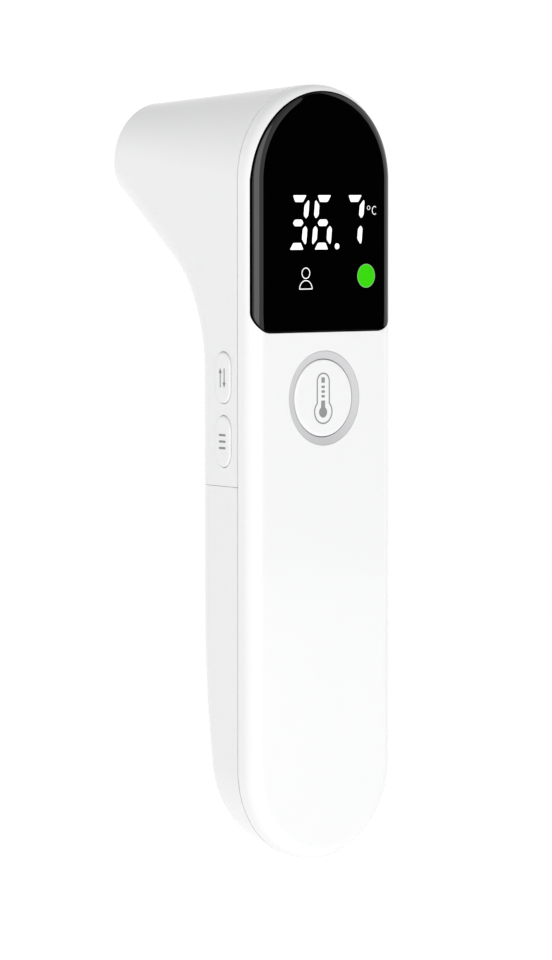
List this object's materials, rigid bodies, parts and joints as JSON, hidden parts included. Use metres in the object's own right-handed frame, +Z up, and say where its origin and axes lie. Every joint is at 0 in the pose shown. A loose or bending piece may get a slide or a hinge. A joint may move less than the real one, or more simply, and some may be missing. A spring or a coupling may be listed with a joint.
{
  "type": "digital thermometer",
  "caption": "Handheld non-contact forehead thermometer: flat front with black display window and round button, short sensor horn at the top rear, sliding battery cover in the handle.",
  "frame": {"origin": "lowest point of the handle end, in the parting plane between front cover and rear housing, on the centre plane", "axes": "+Z up the handle to the head, +Y to the rear where the sensor horn points, +X to the right seen from the front"},
  "size_m": [0.0382, 0.0558, 0.156],
  "materials": {
    "shell_white": "smooth gloss white",
    "window_black": "polished, opaque black with clear figures",
    "ring_silver": "fine silver lacquer",
    "key_white": "smooth gloss white",
    "nose_grey": "fine matt grey",
    "gold_cup": "polished gold plating",
    "can_steel": "bright nickel",
    "filter_dark": "coated silicon",
    "board_green": "solder mask",
    "chip_black": "moulded epoxy",
    "part_steel": "tin plated",
    "module_black": "black moulding",
    "lamp_green": "lit translucent green",
    "tape_black": "thin adhesive foam",
    "tray_grey": "fine moulded texture",
    "cell_wrap": "printed foil wrap",
    "spring_steel": "nickel plated wire",
    "wire_red": "PVC",
    "wire_black": "PVC",
    "wire_grey": "PVC"
  },
  "bodies": {
    "handset": {"front_cover": "shell_white", "rear_shell": "shell_white", "display_window": "window_black", "window_tape": "tape_black", "button_ring": "ring_silver", "measure_switch": "chip_black", "mode_switch": "chip_black", "memory_switch": "chip_black", "nose_ring": "nose_grey", "sensor_holder": "module_black", "sensor_cup": "gold_cup", "thermopile_can": "can_steel", "thermopile_chip": "chip_black", "thermopile_leads": "gold_cup", "sensor_filter": "filter_dark", "sensor_board": "board_green", "sensor_cable": "wire_grey", "sensor_connector": "key_white", "main_board": "board_green", "display_module": "module_black", "display_mask": "tape_black", "display_pins": "part_steel", "status_lamp": "lamp_green", "status_led": "key_white", "processor_chip": "chip_black", "memory_chip": "chip_black", "crystal_can": "can_steel", "buzzer": "module_black", "boost_coil": "chip_black", "board_passives": "chip_black", "board_screws": "spring_steel", "housing_screws": "spring_steel", "battery_tray": "tray_grey", "tray_screws": "spring_steel", "battery_left": "cell_wrap", "battery_right": "cell_wrap", "battery_springs": "spring_steel", "contact_bridge": "part_steel", "contact_positive": "part_steel", "contact_negative": "part_steel", "positive_lead": "wire_red", "negative_lead": "wire_black"},
    "measure_key": {"measure_button": "key_white"},
    "measure_switch_plunger": {"measure_plunger": "part_steel"},
    "mode_key": {"mode_button": "key_white"},
    "mode_switch_plunger": {"mode_plunger": "part_steel"},
    "memory_key": {"memory_button": "key_white"},
    "memory_switch_plunger": {"memory_plunger": "part_steel"},
    "battery_door": {"battery_cover": "shell_white"}
  },
  "joints": [
    {"name": "measure_press", "type": "slide", "parent": "handset", "child": "measure_key", "axis": [0, 1, 0], "range_m": [0, 0.0004], "stiffness_N_per_m": 1500},
    {"name": "measure_plunger_press", "type": "slide", "parent": "handset", "child": "measure_switch_plunger", "axis": [0, 1, 0], "range_m": [0, 0.0004]},
    {"name": "mode_press", "type": "slide", "parent": "handset", "child": "mode_key", "axis": [1, 0, 0], "range_m": [0, 0.0004], "stiffness_N_per_m": 1500},
    {"name": "mode_plunger_press", "type": "slide", "parent": "handset", "child": "mode_switch_plunger", "axis": [1, 0, 0], "range_m": [0, 0.0004]},
    {"name": "memory_press", "type": "slide", "parent": "handset", "child": "memory_key", "axis": [1, 0, 0], "range_m": [0, 0.0004], "stiffness_N_per_m": 1500},
    {"name": "memory_plunger_press", "type": "slide", "parent": "handset", "child": "memory_switch_plunger", "axis": [1, 0, 0], "range_m": [0, 0.0004]},
    {"name": "battery_door_slide", "type": "slide", "parent": "handset", "child": "battery_door", "axis": [0, 0, -1], "range_m": [0, 0.082]}
  ],
  "couplings": [
    {"joint": "measure_plunger_press", "follows": "measure_press", "ratio": 1},
    {"joint": "mode_plunger_press", "follows": "mode_press", "ratio": 1},
    {"joint": "memory_plunger_press", "follows": "memory_press", "ratio": 1}
  ]
}
